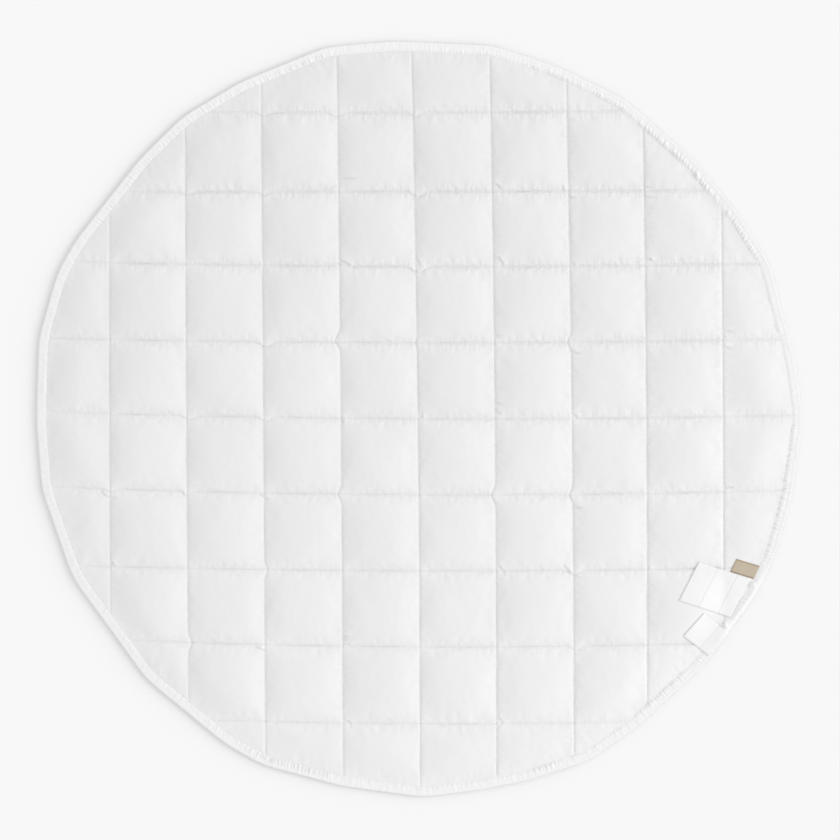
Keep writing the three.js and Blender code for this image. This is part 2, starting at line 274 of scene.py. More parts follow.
def seam_line(kind, line, step):
    """Points along one seam from sewn line to sewn line, with every crossing among them."""
    def on_seam(t):
        other = upright_x(line, t) if kind == "upright" else cross_y(line, t)
        return np.stack([other, t] if kind == "upright" else [t, other], 1)

    axis = 1 if kind == "upright" else 0
    knots = [crossing(line, k) if kind == "upright" else crossing(k, line)
             for k in range(len(CROSS_SEAMS))]
    knots = [k[axis] for k in knots if rim_depth(k[None])[0] > SEWN_LINE + 0.5]
    ends = []
    for inside, outside in ((knots[0], -BEYOND), (knots[-1], BEYOND)):
        for _ in range(30):
            middle = (inside + outside) / 2
            if rim_depth(on_seam(np.array([middle])))[0] > SEWN_LINE:
                inside = middle
            else:
                outside = middle
        ends.append(inside)
    stops = [ends[0], *knots, ends[1]]
    steps = [np.linspace(a, b, max(1, round(abs(b - a) / step)), endpoint=False)
             for a, b in zip(stops, stops[1:])]
    return on_seam(np.concatenate(steps + [[ends[1]]]))


def inset_squares(rows):
    """Points on smaller squares inside each square of the grid, one ring for each row."""
    points = []
    for left in LINES[:-1]:
        for low in LINES[:-1]:
            for off, step in rows:
                ring = [crossing(left, low, off, off), crossing(left + 1, low, -off, off),
                        crossing(left + 1, low + 1, -off, -off), crossing(left, low + 1, off, -off)]
                for a, b in zip(ring, ring[1:] + ring[:1]):
                    share = np.arange(round(np.linalg.norm(b - a) / step))[:, None]
                    run = a + (b - a) * share / max(1, len(share))
                    points.append(run[rim_depth(run) > SEWN_LINE + off + 1.2])
    return np.vstack(points)


def net(spacing, clear):
    """A loose three-way net over the middle of the squares, a little uneven."""
    across = np.arange(-520, 520, spacing)
    up = np.arange(-520, 520, spacing * math.sqrt(3) / 2)
    x, y = np.meshgrid(across, up)
    x = x + (np.arange(len(up)) % 2)[:, None] * spacing / 2
    points = np.stack([x.ravel(), y.ravel()], 1) + rng.normal(0, 0.35, (x.size, 2))
    return points[(rim_depth(points) > SEWN_LINE + clear) & (seam_gap(points) > clear)]


def crease_points():
    """Rows of points along each crease, so that a groove has edges of its own."""
    points = []
    for line in crease_lines:
        for a, b in zip(line, line[1:]):
            long = np.linalg.norm(b - a)
            steps = max(2, round(long / CREASE_STEP))
            side = np.array([a[1] - b[1], b[0] - a[0]]) / long
            for off in CREASE_ROWS:
                points.append(np.linspace(a, b, steps, endpoint=False) + side * off)
    points = before_nudge(np.vstack(points))
    return points[(seam_gap(points) > CREASE_CLEAR) & (rim_depth(points) > SEWN_LINE + CREASE_CLEAR)]


def point_tree(points):
    """A search tree over points in plan."""
    tree = KDTree(len(points))
    for index, point in enumerate(points):
        tree.insert((*point, 0), index)
    tree.balance()
    return tree


def clear_of(points, others, least):
    """True for each point that is farther than a distance from all the others."""
    tree = point_tree(others)
    return np.array([tree.find((*point, 0))[2] > least for point in points])


def thinned(points, least):
    """The points without those too near one before them."""
    tree = point_tree(points)
    dropped = set()
    for index, point in enumerate(points):
        if index not in dropped:
            dropped |= {near for _, near, _ in tree.find_range((*point, 0), least) if near > index}
    return np.delete(points, sorted(dropped), 0)


# %% Triangles of the plan
def quilt_plan(seam_step, rows, spacing, extra=None):
    """A flat triangle mesh of the round, its seams among its edges, and its rim's vertices."""
    lines = [seam_line(kind, line, seam_step)
             for kind in ("upright", "cross") for line in range(len(UPRIGHT_SEAMS))]
    edges, count = [], 0
    for line in lines:
        edges += [(count + k, count + k + 1) for k in range(len(line) - 1)]
        count += len(line)
    for inset in (SEWN_LINE, PAD_RIM):
        edges += [(count + k, count + (k + 1) % len(rim)) for k in range(len(rim))]
        lines.append(rim + inwards * inset)
        count += len(rim)
    fixed = np.vstack(lines)
    loose = [rim + inwards * UNDER_TAPE, inset_squares(rows)]
    for off, step in rows:
        every = max(1, round(step / RIM_STEP))
        ring = rim[::every] + inwards[::every] * (SEWN_LINE + off)
        loose.append(ring[seam_gap(ring) > off + LEAST_APART])
    loose.append(net(spacing, rows[-1][0] + 0.6 * spacing))
    loose = np.vstack(loose)
    if extra is not None:
        extra = thinned(extra[clear_of(extra, fixed, LEAST_APART)], LEAST_APART)
        loose = np.vstack([extra, loose[clear_of(loose, extra, LEAST_FROM_CREASE)]])
    points = np.vstack([fixed, loose])
    made, _, faces, origin, _, _ = delaunay_2d_cdt(
        [Vector(p) for p in points], edges, [], 0, 0.02, True)
    plan = np.array([tuple(p) for p in made])
    faces = np.array([face for face in faces if len(face) == 3])
    at = {old: new for new, olds in enumerate(origin) for old in olds}
    ring = np.array([at[k] for k in range(len(fixed) - len(rim), len(fixed))])
    faces = faces[~np.isin(faces, ring).all(1)]
    a, b, c = (plan[faces[:, k]] for k in range(3))
    turned = (b[:, 0] - a[:, 0]) * (c[:, 1] - a[:, 1]) < (c[:, 0] - a[:, 0]) * (b[:, 1] - a[:, 1])
    faces[turned] = faces[turned][:, ::-1]
    return plan, faces, ring


face_plan, face_triangles, face_ring = quilt_plan(RIM_STEP, FACE_ROWS, FACE_NET, crease_points())
backing_plan, backing_triangles, backing_ring = quilt_plan(6.0, BACKING_ROWS, BACKING_NET)
print("face", len(face_triangles), "triangles, backing", len(backing_triangles))

# %% [markdown]
# ## Blowing up the squares
#
# Between its seams, quilted cloth is a balloon of wadding. A cloth simulation gives its rounded
# squares and the small folds beside the stitches, which are hard to draw by hand. The seams and the
# margin under the tape are pinned, pressure pushes the rest up, and gravity is off because the
# wadding carries the cloth.
#
# Sewing gathers cloth, so there is a little more of it beside a seam than in the middle of a
# square. The shrink setting is used backwards for this: a negative value lets the threads grow.
# Its vertex group says where, and how much differs over the mat, as the tension of the thread did.

# %% Start shape and slack
SEAM_TOP = 6.2
SEWN_TOP = 6.0
RIM_TOP = 4.1
CROWN_RISE = 8.0
ROUNDNESS_ACROSS, ROUNDNESS_UP = 0.65, 0.5  # lower is squarer
START_UNEVEN = 0.4  # small uneven heights, so that folds have somewhere to start
ON_SEAM = 0.05  # a point as near a seam as this is one of its own
HELD = SEWN_LINE + ON_SEAM  # from the outer fold to here, the tape's seam holds the cloth
SLACK = -0.021  # the most extra length, as a share
SLACK_FROM, SLACK_TO = 4.0, 14.0


def smooth(low, high, value):
    """0 below low, 1 above high, and a soft step between."""
    t = np.clip((value - low) / (high - low), 0, 1)
    return t * t * (3 - 2 * t)


def arch(value, lines):
    """A parabola over each gap between lines, 0 on them and 1 half way."""
    lines = np.sort(lines, axis=0)
    rows = np.arange(len(value))
    after = np.clip((lines < value).sum(0), 1, len(lines) - 1)
    low, high = lines[after - 1, rows], lines[after, rows]
    t = np.clip((value - low) / (high - low), 0, 1)
    return 4 * t * (1 - t)


def slack_beside(plan):
    """How much of the full slack the cloth has at each point, from 0 to 1."""
    x, y = plan[:, 0] / 500, plan[:, 1] / 500
    # Toward the top and the right the sewing gathered more cloth.
    beside_cross = (0.62 + 0.30 * smooth(-0.4, 0.8, y)) * (0.85 + 0.2 * smooth(-0.8, 0.8, x))
    beside_upright = 0.34 + 0.3 * smooth(-0.6, 0.8, x)
    near_cross = 1 - smooth(SLACK_FROM, SLACK_TO, seam_gap(plan, "cross"))
    near_upright = 1 - smooth(SLACK_FROM, SLACK_TO, seam_gap(plan, "upright"))
    near_rim = 0.5 * (1 - smooth(SLACK_FROM, SLACK_TO, rim_depth(plan) - SEWN_LINE))
    return np.clip(np.maximum.reduce(
        [near_cross * beside_cross, near_upright * beside_upright, near_rim]), 0, 1)


depth_in = rim_depth(face_plan)
gap = seam_gap(face_plan)
pinned = (gap < ON_SEAM) | (depth_in < HELD)
dome = (arch(face_plan[:, 0], np.array([upright_x(k, face_plan[:, 1]) for k in LINES])) ** ROUNDNESS_ACROSS
        * arch(face_plan[:, 1], np.array([cross_y(k, face_plan[:, 0]) for k in LINES])) ** ROUNDNESS_UP
        * np.clip((depth_in - SEWN_LINE) / 40, 0, 1) ** 0.7)
margin = np.clip((depth_in - PAD_RIM) / (SEWN_LINE - PAD_RIM), 0, 1)
height = np.where(
    depth_in < HELD, RIM_TOP + (SEWN_TOP - RIM_TOP) * margin,
    SEWN_TOP + (SEAM_TOP - SEWN_TOP) * smooth(0, 20, depth_in - SEWN_LINE) + CROWN_RISE * dome)
height += np.where(pinned, 0, rng.uniform(0, START_UNEVEN, len(height)))
face_points = np.column_stack([face_plan, height])
print("pinned", int(pinned.sum()), "of", len(face_plan), "points")


# %% Cloth simulation
def mesh_object(name, points, faces):
    """A smooth-shaded object from points in millimetres."""
    mesh = bpy.data.meshes.new(name)
    mesh.from_pydata((np.asarray(points) * MM).tolist(), [], np.asarray(faces).tolist())
    mesh.polygons.foreach_set("use_smooth", [True] * len(mesh.polygons))
    mesh.update()
    made = bpy.data.objects.new(name, mesh)
    bpy.context.scene.collection.objects.link(made)
    return made


def blown_up(points, triangles, frames=10):
    """The face after the wadding has pushed it up."""
    piece = mesh_object("face_cloth", points, triangles)
    piece.vertex_groups.new(name="sewn").add(np.flatnonzero(pinned).tolist(), 1.0, "REPLACE")
    slack = piece.vertex_groups.new(name="no_slack")
    share = np.round((1 - slack_beside(points[:, :2])) * 20)
    for step in range(21):
        slack.add(np.flatnonzero(share == step).tolist(), step / 20, "REPLACE")
    cloth = piece.modifiers.new("cloth", "CLOTH")
    settings = cloth.settings
    settings.quality = 5
    settings.mass = 0.3
    settings.tension_stiffness = settings.compression_stiffness = 15
    settings.shear_stiffness = 5
    settings.bending_stiffness = 0.03
    settings.tension_damping = settings.compression_damping = settings.shear_damping = 5
    settings.bending_damping = 0.5
    settings.air_damping = 1
    settings.vertex_group_mass = "sewn"
    settings.use_pressure = True
    settings.uniform_pressure_force = 10
    settings.shrink_min = SLACK
    settings.shrink_max = 0
    settings.vertex_group_shrink = "no_slack"
    settings.effector_weights.gravity = 0
    cloth.collision_settings.use_collision = False
    cloth.collision_settings.use_self_collision = False
    cloth.point_cache.frame_start, cloth.point_cache.frame_end = 1, frames
    scene = bpy.context.scene
    scene.frame_start, scene.frame_end = 1, frames
    for number in range(1, frames + 1):
        scene.frame_set(number)
    shaped = piece.evaluated_get(bpy.context.evaluated_depsgraph_get()).data
    flat = np.empty(len(shaped.vertices) * 3)
    shaped.vertices.foreach_get("co", flat)
    bpy.data.objects.remove(piece)
    scene.frame_set(1)
    return flat.reshape(-1, 3) / MM


face_points = blown_up(face_points, face_triangles)
print("crown", round(face_points[:, 2].max(), 1), "mm")

# %% [markdown]
# ## Tucks and creases on the blown-up face
#
# The simulation cannot know how this mat was fed through the machine, so the tucks listed above go
# on now. Each crease is a groove with a lip on one side, deepest in its middle, as a fold caught
# under thread is.

# %% Slide and crease the face
CREASE_DEPTH, CREASE_WIDTH, LIP_HEIGHT = 1.5, 1.15, 1.1
FULL_RISE, SHOULDER = 6.6, 16.0  # of a square above its seams, and how far out its slope dies away
WAVE_RISE = 0.85
SEAM_LIFT = 1.2  # the seams float half way between the two faces
UPRIGHT_BITE, CROSS_BITE = 0.62, 0.6  # how deep the thread pulls its own narrow groove
BITE_WIDTH = 0.7
LOWEST_FACE, HIGHEST_FACE = 3.0, 16.5


def crease_relief(plan, line):
    """The change in height that one crease makes at each point."""
    best = np.full(len(plan), 1e9)
    side, share = np.zeros(len(plan)), np.zeros(len(plan))
    run = np.concatenate([[0], np.cumsum(np.linalg.norm(np.diff(line, axis=0), axis=1))])
    for k, (a, b) in enumerate(zip(line, line[1:])):
        edge = b - a
        t = np.clip((plan - a) @ edge / (edge @ edge), 0, 1)
        off = plan - (a + t[:, None] * edge)
        far = np.linalg.norm(off, axis=1)
        closer = far < best
        best = np.where(closer, far, best)
        turned = np.sign(edge[0] * off[:, 1] - edge[1] * off[:, 0])
        side = np.where(closer, far * turned, side)
        share = np.where(closer, (run[k] + t * (run[k + 1] - run[k])) / run[-1], share)
    fade = np.sin(np.clip(share, 0.06, 0.94) * math.pi) ** 0.6
    reach = np.exp(-np.clip(best - abs(side), 0, None) ** 2)
    groove = -CREASE_DEPTH * np.exp(-(side / CREASE_WIDTH) ** 2)
    lip = LIP_HEIGHT * np.exp(-((side - 1.8 * CREASE_WIDTH) / (1.3 * CREASE_WIDTH)) ** 2)
    return (groove + lip) * fade * reach


# Pressure alone blows a square up steeply. Wadding lies thinner, and its slope dies away evenly
# from the seam, so the mean section of the simulated squares is measured and mapped to that one.
off_seam = np.array([0, *(off for off, _ in FACE_ROWS), 15, 20, 25, 30, 35, 40, 45, 49])
risen = np.clip(face_points[:, 2] - SEAM_TOP, 0, None)
inside = (depth_in > SEWN_LINE + 60) & (
    np.maximum(seam_gap(face_plan, "upright"), seam_gap(face_plan, "cross")) > 32)
section = np.array([np.median(risen[inside & (abs(gap - off) < 0.2 + 0.05 * off)]) for off in off_seam])
section = np.maximum.accumulate(section) + off_seam * 1e-6
fine = np.linspace(0, 49, 246)
wanted = np.cumsum(np.exp(-(fine / SHOULDER) ** 1.1))
wanted = np.interp(off_seam, fine, (wanted - wanted[0]) / (wanted[-1] - wanted[0]))
mapped = FULL_RISE * np.interp(risen, section, wanted) + 0.3 * np.clip(risen - section[-1], 0, None)
print("mean section", np.round(section, 1), "becomes", np.round(FULL_RISE * wanted, 1))
face_points[:, 2] += np.where(depth_in > HELD, mapped - risen, 0)
face_points[:, 2] += SEAM_LIFT * smooth(0, 45, depth_in - SEWN_LINE)
# The mat does not lie dead flat: slow waves tilt its squares a little, each in its own way.
x, y = face_plan.T
waves = (np.sin(x / 41 + 1.3 * np.sin(y / 73)) * np.sin(y / 53 + 1.1 * np.sin(x / 87) + 1.9)
         + 0.6 * np.sin(x / 27 + 2.1 + np.sin(y / 39)) * np.cos(y / 31 + np.sin(x / 45)))
face_points[:, 2] += WAVE_RISE * waves * smooth(0, 60, depth_in - SEWN_LINE)
# The thread was not pulled equally tight everywhere, so neither is its groove.
tension = 1 + 0.3 * np.sin(face_plan[:, 0] / 13.7 + 2 * np.sin(face_plan[:, 1] / 61)) * np.sin(
    face_plan[:, 1] / 11.3 + 2 * np.sin(face_plan[:, 0] / 47))
for seams, bite in (("upright", UPRIGHT_BITE), ("cross", CROSS_BITE)):
    groove = bite * tension * np.exp(-(seam_gap(face_plan, seams) / BITE_WIDTH) ** 2)
    face_points[:, 2] -= groove * smooth(0, 6, depth_in - SEWN_LINE)
face_points[:, :2] += nudge_at(face_points[:, :2])
free = smooth(0.3, 2.0, gap) * smooth(0.5, 3.0, depth_in - SEWN_LINE)
for line in crease_lines:
    near = np.flatnonzero((abs(face_points[:, :2] - line.mean(0)) < 30).all(1))
    face_points[near, 2] += crease_relief(face_points[near, :2], line) * free[near]
face_points[:, 2] = np.where(
    depth_in < HELD, face_points[:, 2], np.clip(face_points[:, 2], LOWEST_FACE, HIGHEST_FACE))
print("face from", round(face_points[:, 2].min(), 1), "to", round(face_points[:, 2].max(), 1), "mm")

# %% [markdown]
# ## The backing and the whole pad
#
# Underneath, the mat's own weight presses the squares flat, and only the seams are drawn up. The
# face and the backing meet at the pad's cut edge, which the tape hides. Joining them there makes
# one closed form, as a filled pad is.

# %% Pad
SEAM_UNDER = 1.5
RIM_UNDER = 2.9
SEAM_REACH = 7.0
PUCKER_REACH = 9.0
THREAD_REACH, THREAD_HOLD = 1.6, 0.8  # right beside the thread, the cloth is held and puckers less

backing_gap = np.minimum(seam_gap(backing_plan), np.maximum(rim_depth(backing_plan) - SEWN_LINE, 0))
backing_height = SEAM_UNDER * np.exp(-(backing_gap / SEAM_REACH) ** 2)
backing_height[backing_gap > 2 * SEAM_REACH] = 0
backing_height[backing_ring] = RIM_UNDER
backing_points = np.column_stack([backing_plan, backing_height])
next_up, next_down = np.roll(face_ring, -1), np.roll(backing_ring, -1)
start = len(face_points)
wall = np.vstack([
    np.column_stack([backing_ring + start, next_down + start, next_up]),
    np.column_stack([backing_ring + start, next_up, face_ring])])
pad = mesh_object(
    "quilted_cotton_pad", np.vstack([face_points, backing_points]),
    np.vstack([face_triangles, backing_triangles[:, ::-1] + start, wall]))

# How near each point is to a seam, for the finest puckers, which are drawn in the material.
all_plans = np.vstack([face_plan, backing_plan])
right, up = all_plans.T / 500
strength = {"upright": 0.35 + 0.5 * smooth(-0.7, 0.8, right),
            "cross": (0.35 + 0.55 * smooth(-0.5, 0.6, up)) * (0.7 + 0.4 * smooth(-0.8, 0.6, right))}
for name, seams in (("near_upright", "upright"), ("near_cross", "cross")):
    off = seam_gap(all_plans, seams)
    values = strength[seams] * (np.exp(-(off / PUCKER_REACH) ** 2)
                                - THREAD_HOLD * np.exp(-(off / THREAD_REACH) ** 2))
    pad.data.attributes.new(name, "FLOAT", "POINT").data.foreach_set("value", values)
print("pad", len(pad.data.polygons), "faces")

# %% [markdown]
# ## The folded tape round the rim
#
# The rim is bound with a straight tape of the same cotton, folded in half over the edge and sewn
# down near its inner fold. A straight tape on a round edge has too much cloth inside the bend, so
# its inner fold gathers. Where the sewer stretched it, it lies smooth.
#
# The tape is a section carried round the rim. A section is a list of places: how far in from the
# outer fold, how high, and how much a gather lifts it there.

# %% Section of the tape
TAPE_WIDTH = 12.3
TAPE_STEP = 1.2
TAPE_OUTSIDE = (  # in from the fold, height, share of a gather
    (12.3, 6.2, 0.3), (12.0, 6.4, 0.7), (11.3, 6.45, 1.0), (10.3, 6.35, 0.85), (9.3, 6.45, 1.0),
    (8.2, 6.45, 1.0), (6.9, 6.35, 0.75), (5.5, 6.25, 0.35), (4.1, 6.2, 0.12), (2.6, 6.2, 0.06),
    (1.3, 6.2, 0.04), (0.3, 6.1, 0.02), (0.0, 5.7, 0.0), (0.1, 5.0, 0.0), (0.5, 4.1, 0.0),
    (1.3, 3.2, 0.0), (2.3, 2.5, 0.0), (3.5, 1.8, 0.0), (4.8, 1.1, 0.0), (6.2, 0.5, 0.0),
    (7.6, 0.0, 0.0), (12.3, 0.0, 0.0),
)
TAPE_INSIDE = (
    (12.3, 0.8, 0.0), (7.6, 0.9, 0.0), (6.0, 1.4, 0.0), (4.6, 2.0, 0.0), (3.3, 2.6, 0.0),
    (2.2, 3.2, 0.0), (1.3, 3.9, 0.0), (1.1, 4.5, 0.0), (1.4, 5.0, 0.0), (3.0, 5.4, 0.0),
    (6.5, 5.8, 0.1), (12.0, 5.85, 0.2),
)
tape_in, tape_up, tape_lift = np.array(TAPE_OUTSIDE + TAPE_INSIDE).T
tape_line, tape_inwards, _ = rim_line(TAPE_STEP)
print("tape", len(tape_line), "stations,", len(tape_in), "places in a section")

# %% [markdown]
# The gathers differ from place to place, so the rim is told span by span: from which angle to
# which, how high its gathers stand, how far apart they are, and how far they lean along the rim by
# the time they reach the fold. Inside a span each ridge gets its own place, height and width from a
# seeded generator. A sine wave would look like a machined rib.

# %% Gathers
GATHERS = (  # from, to (degrees), height, spacing, lean (mm)
    (0, 12, 0.25, 5.0, 0), (12, 24, 0.9, 4.2, 3), (24, 35, 2.1, 4.6, 6), (35, 54, 2.2, 4.8, 7),
    (54, 74, 1.3, 3.8, 3), (74, 92, 0.5, 5.0, 2), (92, 103, 0.12, 6.0, 0), (103, 114, 1.3, 4.0, 2),
    (114, 150, 0.9, 4.6, 2), (150, 196, 0.4, 5.0, 1), (196, 240, 0.6, 5.0, 2),
    (240, 257, 1.6, 4.4, 1), (257, 287, 0.45, 6.0, 2), (287, 293, 1.5, 4.0, 1),
    (293, 306, 0.6, 4.8, 2), (306, 317, 1.5, 4.2, 1), (317, 336, 0.8, 5.0, 4),
    (336, 360, 1.9, 4.6, 1),
)
FOLDS = (  # angle, height, half width, lean (mm): single larger folds
    (348, 1.6, 1.6, 2), (333.4, 2.0, 3.2, 6), (326.3, 2.2, 3.4, -6), (29, 1.2, 2.0, 9),
    (41, 1.3, 2.2, 9), (47, 1.2, 2.0, -8), (60.5, 0.9, 2.0, 5), (107, 1.0, 1.8, 4),
    (291, 1.1, 1.6, -3), (309, 1.2, 2.0, 4),
)
OUTER_SHARE = 0.55  # how much of a gather's height the outer fold stands up in answer
EDGE_BEDS = 0.05  # on the right, the share of its height that the inner edge sinks
SLOW_SWELL, SLOW_SHIFT = 0.16, 0.22  # how much the tape swells, and its inner edge wanders
tape_turn = np.degrees(np.arctan2(tape_line[:, 1], tape_line[:, 0])) % 360
MM_PER_DEGREE = RIM_LENGTH / 360


def gathered(sections):
    """The lift of every section place at every station, as stations by places."""
    lift = np.zeros((len(tape_line), len(sections)))
    share_in = 1 - sections / TAPE_WIDTH

    def ridge(angle, high, half_width, lean):
        offset = (tape_turn - angle + 180) % 360 - 180
        near = np.flatnonzero(abs(offset) * MM_PER_DEGREE < 4 * half_width + abs(lean) + 2)
        off = offset[near, None] * MM_PER_DEGREE - lean * share_in[None, :]
        lift[near] += high * np.exp(-(off / half_width) ** 2)

    for start, end, high, spacing, lean in GATHERS:
        angle = start + 0.5 * spacing / MM_PER_DEGREE
        while angle < end:
            ease = min(1, (angle - start + 1) / 3, (end - angle + 1) / 3)
            ridge(angle, high * ease * rng.uniform(0.35, 1.25), spacing * rng.uniform(0.2, 0.32),
                  lean * rng.uniform(0.5, 1.4))
            angle += spacing * rng.uniform(0.7, 1.35) / MM_PER_DEGREE
    for fold in FOLDS:
        ridge(*fold)
    return lift


# %% Tape
count, places = len(tape_line), len(tape_in)
lift = gathered(tape_in) * tape_lift
# The tape's strip between the labels and the rim stands up at its outer half.
beside_labels = smooth(321, 326, tape_turn) * (1 - smooth(333, 338, tape_turn))
lift += beside_labels[:, None] * (1.3 * np.exp(-((tape_in - 4.5) / 2.6) ** 2) * (tape_up > 4.5))[None, :]
# Slow swelling and sinking, and an inner edge that is not quite even.
slow = np.interp(np.arange(count), np.arange(240) * count / 240, rng.normal(0, 1, 240), period=count)
lift += (SLOW_SWELL * slow[:, None]) * tape_lift[None, :]
# On the right the fold stands clear of the table. On the left it lies down flat.
flat_fold = 0.5 - 0.5 * np.cos(np.radians(tape_turn))[:, None]
lying = 1 - flat_fold * (0.12 * np.clip(1 - tape_in / 9, 0, 1) + 0.16 * np.clip(1 - tape_in / 1.6, 0, 1))
inset = tape_in * np.where((tape_in < 7.7) & (tape_up < 5), 1 - 0.8 * flat_fold, 1)
inset = inset + tape_lift * SLOW_SHIFT * slow[:, None] * (tape_in > 9) - 0.18 * lift * (tape_in > 9)
# Where the inner edge is drawn up in gathers, the outer fold stands up in answer.
drawn_up = np.interp(tape_turn, *np.array([(0.5 * (a + b), high) for a, b, high, _, _ in GATHERS]).T,
                     period=360)
lift += OUTER_SHARE * drawn_up[:, None] * (np.clip(1 - tape_in / 8, 0, 1) * (tape_up > 4.5))[None, :]
# On the right, its inner edge beds a little deeper into the wadding.
lying = lying - (1 - flat_fold) * EDGE_BEDS * smooth(8, 11, tape_in) * (tape_up > 5)
height = np.maximum(tape_up * lying + lift, 0)
tape_points = np.empty((count, places, 3))
tape_points[:, :, :2] = tape_line[:, None, :] + tape_inwards[:, None, :] * inset[:, :, None]
tape_points[:, :, 2] = height
station, spot = np.meshgrid(np.arange(count), np.arange(places), indexing="ij")
index = station * places + spot
ahead, beyond = np.roll(index, -1, 0), np.roll(index, -1, 1)
corner = np.roll(ahead, -1, 1)
tape_faces = np.stack([index, ahead, corner, beyond], -1).reshape(-1, 4)
binding = mesh_object("cotton_edge_tape", tape_points.reshape(-1, 3), tape_faces)
# Kept at the corners of faces, so the pattern runs on to the last face and only then starts anew.
section_run = np.cumsum(np.hypot(np.diff(tape_in, append=tape_in[0]), np.diff(tape_up, append=tape_up[0])))
section_run = np.concatenate([[0], section_run]) * MM
run = (station[..., None] + np.array([0, 1, 1, 0])) / count * RIM_LENGTH * MM
across = section_run[spot[..., None] + np.array([0, 0, 1, 1])]
for name, values in (("along_tape", run), ("across_tape", across)):
    binding.data.attributes.new(name, "FLOAT", "CORNER").data.foreach_set("value", values.ravel())
print("tape", len(binding.data.polygons), "faces")

# %% [markdown]
# ## Labels
#
# A woven tape label and two care labels are caught in the binding seam and lie over the pad. A
# label is a thin sheet, stiffer than the cotton, so it bridges the hollows and bends over the
# swells. Its height is worked out from what is under it: the cloth's height at each place,
# smoothed but never sinking below it, and lifted clear. Its corners curl a little. The real labels
# are printed; here they are left without words.

# %% Label shapes
LABEL_CLOTH = 0.2  # thick
LABEL_CLEAR = 0.1  # air under it
LABEL_BOW = 0.15
LABEL_GRID = 2.0
LABELS = {  # middle x, y, long, wide, direction of the long sides and of the ends, corner lifts
    "care_label_short": (374.4, -281.3, 42, 40, -38.4, 48, (0.1, 0.05, 0.05, 0.2)),
    "care_label_long": (385.6, -222.8, 71, 57, -18.2, 63, (0.1, 0.05, 0.05, 0.2)),
    "tape_label": (425.4, -195.6, 32, 18.5, -17.3, 64, (0.1, 0.05, 0.05, 0.1)),
}


def tree_of(*pieces):
    """One search tree over the meshes of some pieces, in metres."""
    points, faces = [], []
    for piece in pieces:
        start = len(points)
        points += [v.co.copy() for v in piece.data.vertices]
        faces += [[start + k for k in p.vertices] for p in piece.data.polygons]
    return BVHTree.FromPolygons(points, faces)


def top_at(tree, x, y):
    """The height of the cloth at a place, in millimetres."""
    hit = tree.ray_cast(Vector((x * MM, y * MM, 0.06)), Vector((0, 0, -1)))[0]
    return hit.z / MM if hit else 0.0


def unit(angle):
    """One step in a direction, given in degrees."""
    return np.array([math.cos(math.radians(angle)), math.sin(math.radians(angle))])


def label_sheet(name, tree):
    """A thin closed sheet that lies over what the tree holds."""
    x, y, long, wide, along, across, lifts = LABELS[name]
    columns, rows = round(long / LABEL_GRID), round(wide / LABEL_GRID)
    u, v = np.meshgrid(np.linspace(0, 1, columns + 1), np.linspace(0, 1, rows + 1), indexing="ij")
    plan = (np.array([x, y]) + (u[..., None] - 0.5) * long * unit(along)
            + (v[..., None] - 0.5) * wide * unit(across))
    under = np.array([[top_at(tree, *plan[i, j]) for j in range(rows + 1)] for i in range(columns + 1)])
    sheet = under.copy()
    for _ in range(12):
        padded = np.pad(sheet, 1, mode="edge")
        sheet = (padded[2:, 1:-1] + padded[:-2, 1:-1] + padded[1:-1, 2:] + padded[1:-1, :-2]) / 4
        sheet = np.maximum(sheet, under)
    far_low, near_low, near_high, far_high = lifts
    curl = ((1 - u) ** 3 * ((1 - v) ** 3 * far_low + v ** 3 * far_high)
            + u ** 3 * ((1 - v) ** 3 * near_low + v ** 3 * near_high))
    bow = LABEL_BOW * np.sin(u * 2.1 * math.pi + 0.6) * np.sin(v * 1.4 * math.pi + 0.4) + LABEL_BOW
    sheet = sheet + LABEL_CLEAR + curl + bow
    low = np.concatenate([plan, sheet[..., None]], -1)
    high = low + (0, 0, LABEL_CLOTH)
    count = (columns + 1) * (rows + 1)
    index = np.arange(count).reshape(columns + 1, rows + 1)
    quads = np.stack([index[:-1, :-1], index[1:, :-1], index[1:, 1:], index[:-1, 1:]], -1).reshape(-1, 4)
    loop = np.concatenate([index[:, 0], index[-1, 1:], index[-2::-1, -1], index[0, -2:0:-1]])
    after = np.roll(loop, -1)
    wall = np.column_stack([loop, after, after + count, loop + count])
    piece = mesh_object(name.replace("label", "label_cloth"),
                        np.vstack([low.reshape(-1, 3), high.reshape(-1, 3)]),
                        np.vstack([quads[:, ::-1], quads + count, wall]))
    for share_name, share, size in (("label_along", u, long), ("label_across", v, wide)):
        values = np.tile(share.ravel() * size * MM, 2)
        piece.data.attributes.new(share_name, "FLOAT", "POINT").data.foreach_set("value", values)
    return piece


labels = {}
for name in LABELS:
    labels[name] = label_sheet(name, tree_of(pad, binding, *labels.values()))
    print(name, len(labels[name].data.polygons), "faces")

# %% [markdown]
# ## Colours and a helper for nodes
#
# A screen colour such as #eeeeee is not the share of light that a surface returns. The shader
# needs that share, so one function turns each hex value to linear. A second function adds a node,
# sets it, and links its inputs, which keeps the materials short. What several cloths share, such
# as noise, ridges and a change of tone, is a function as well.


# %% Colour and node helpers
def linear(colour):
    """A screen colour such as #eeeeee as the linear values that a shader takes."""
    channels = [int(colour[k:k + 2], 16) / 255 for k in (1, 3, 5)]
    return [c / 12.92 if c <= 0.04045 else ((c + 0.055) / 1.055) ** 2.4 for c in channels] + [1.0]


def add(tree, kind, inputs=None, **settings):
    """Adds a node, gives it its settings, and fills its inputs with values or with links."""
    made = tree.nodes.new(kind)
    for name, value in settings.items():
        setattr(made, name, value)
    for key, value in (inputs or {}).items():
        if isinstance(value, bpy.types.NodeSocket):
            tree.links.new(value, made.inputs[key])
        else:
            made.inputs[key].default_value = value
    return made


def total(tree, *reliefs):
    """The sum of some heights."""
    result = reliefs[0]
    for relief in reliefs[1:]:
        result = add(tree, "ShaderNodeMath", {0: result, 1: relief}, operation="ADD").outputs[0]
    return result


